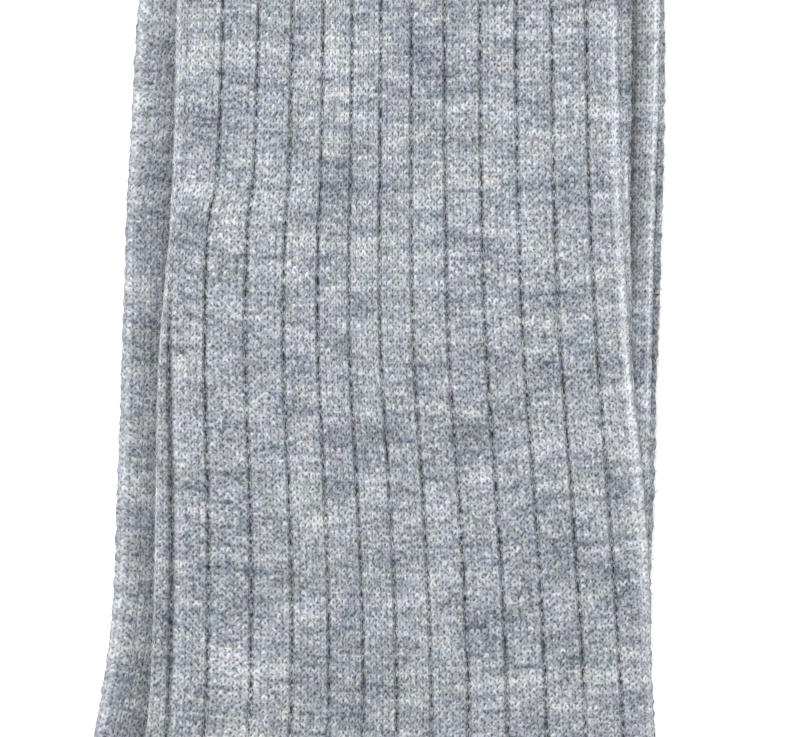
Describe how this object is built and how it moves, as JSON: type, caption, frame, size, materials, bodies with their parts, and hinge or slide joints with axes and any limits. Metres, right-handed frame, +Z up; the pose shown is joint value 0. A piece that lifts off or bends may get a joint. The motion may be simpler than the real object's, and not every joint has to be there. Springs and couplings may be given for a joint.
{
  "type": "pair of ribbed wool socks",
  "caption": "Pair of adult mid-calf wool socks, laid flat one on the other: ribbed leg and instep, open cuff, plain heel, sole and toe.",
  "frame": {"origin": "centre of the box round both socks, seen from above, on the surface they lie on", "axes": "+Z up from the surface, +Y along the leg to the cuff, +X to the toes"},
  "size_m": [0.2498, 0.332, 0.0087],
  "materials": {
    "wool_knit": "matt heathered wool, fine knit, slightly fuzzy"
  },
  "bodies": {
    "root": {"sock_lower": "wool_knit", "sock_upper": "wool_knit"}
  },
  "joints": []
}
